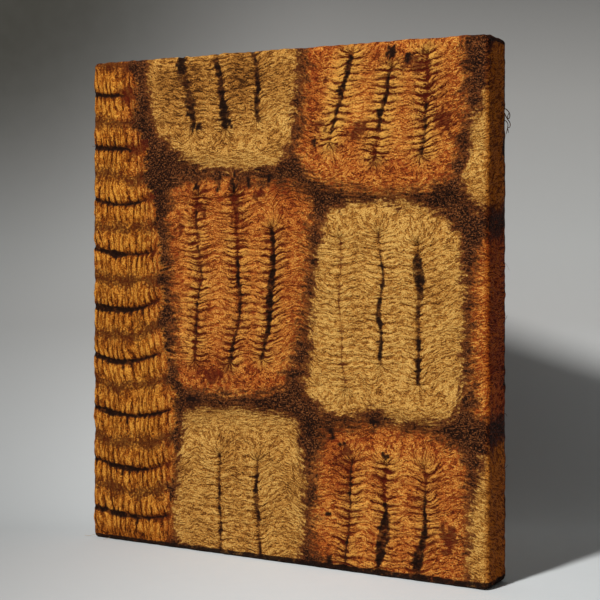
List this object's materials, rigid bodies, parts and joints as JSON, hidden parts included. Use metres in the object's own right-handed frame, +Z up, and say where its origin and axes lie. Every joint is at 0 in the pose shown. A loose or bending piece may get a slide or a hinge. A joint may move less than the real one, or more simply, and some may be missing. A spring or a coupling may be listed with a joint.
{
  "type": "raffia cloth stretched over a stretcher frame",
  "caption": "Stitch-dyed raffia cloth with gathered, puckered blocks, stretched over a deep mitred softwood frame that stands on its lower edge or hangs from its open back.",
  "frame": {"origin": "on the surface the panel stands on, under the middle of the panel's width and depth", "axes": "+Z up the panel's height, +X to the right as seen from the front, -Y out of the front face"},
  "size_m": [0.41, 0.04, 0.4608],
  "materials": {
    "raffia": "dry, fibrous raffia, resist-dyed gold and orange-red on dark brown, with a slight silky sheen on the crests",
    "pine": "planed softwood, unfinished"
  },
  "bodies": {
    "root": {"raffia_cloth": "raffia", "stretcher_bar_top": "pine", "stretcher_bar_bottom": "pine", "stretcher_bar_left": "pine", "stretcher_bar_right": "pine"}
  },
  "joints": []
}
